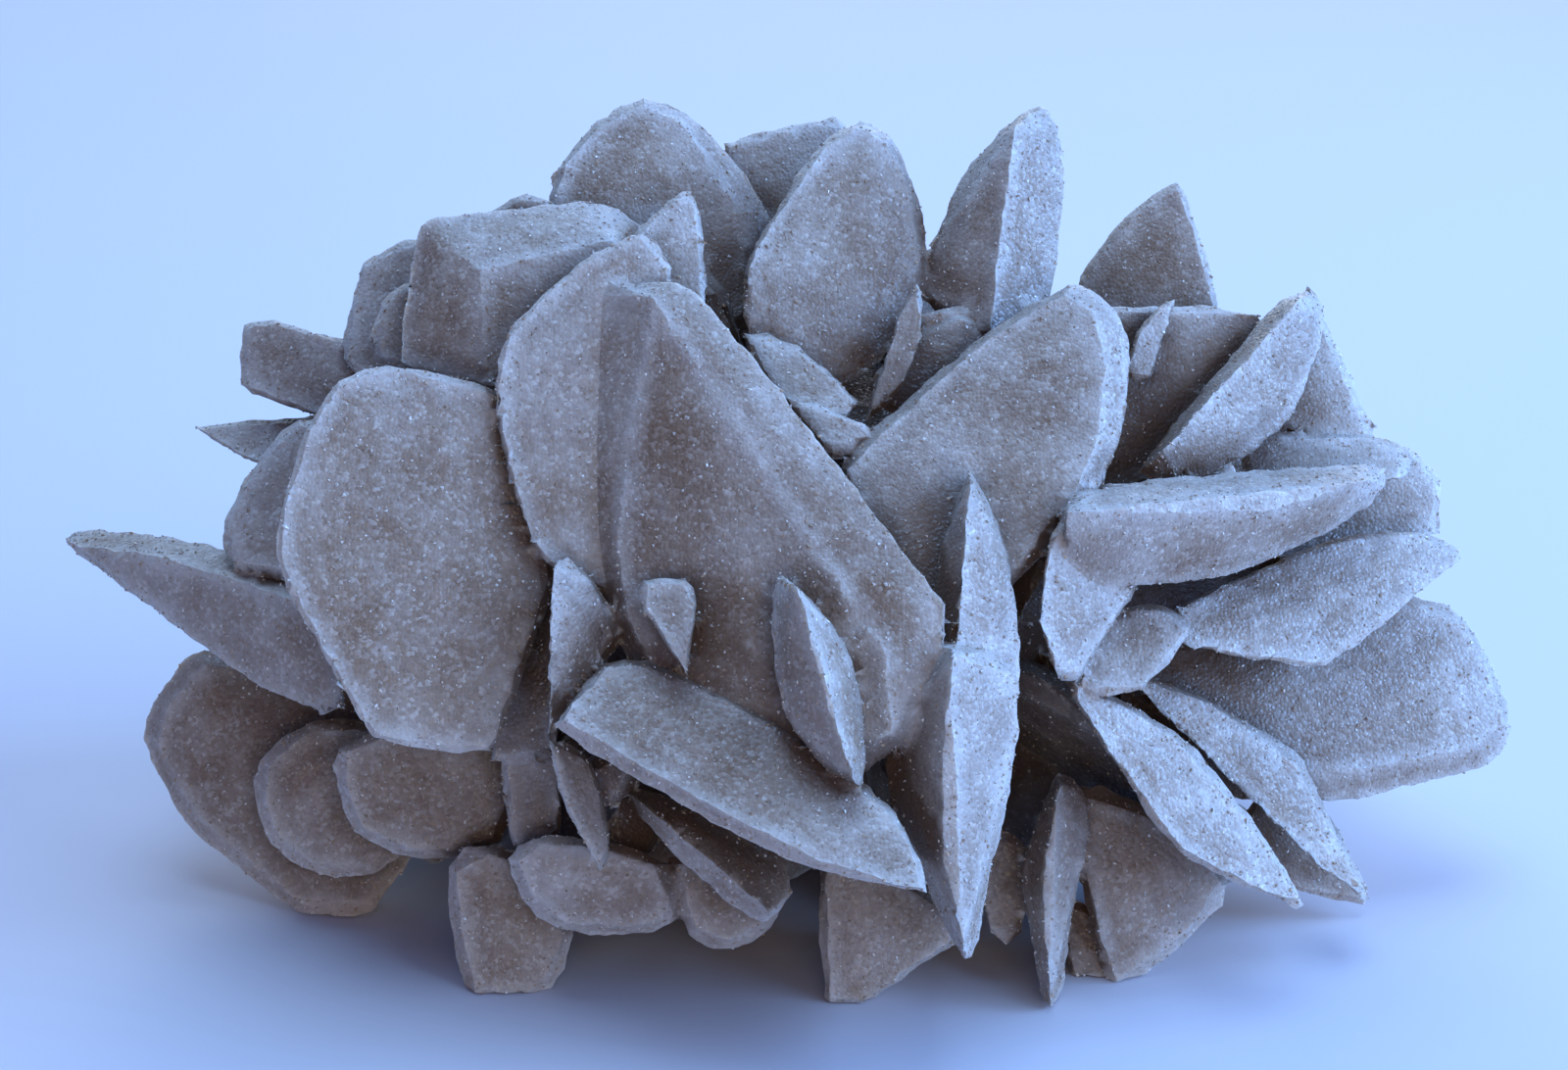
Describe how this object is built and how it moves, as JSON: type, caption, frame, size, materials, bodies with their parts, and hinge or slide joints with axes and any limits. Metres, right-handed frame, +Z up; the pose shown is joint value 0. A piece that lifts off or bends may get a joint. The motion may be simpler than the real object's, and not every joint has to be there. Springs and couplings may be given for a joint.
{
  "type": "desert rose selenite specimen",
  "caption": "Desert rose: an intergrown cluster of sandy gypsum blades radiating from a common middle, free-standing on the flattened tips of its lower blades.",
  "frame": {"origin": "middle of the box's bottom, on the surface the rose rests on", "axes": "+Z up, +X along the rose's length, -Y towards the showing side with the broad blades"},
  "size_m": [0.1864, 0.1226, 0.098],
  "materials": {
    "sandy_gypsum": "matte, grainy sand-filled gypsum with fine glints"
  },
  "bodies": {
    "root": {"desert_rose": "sandy_gypsum"}
  },
  "joints": []
}
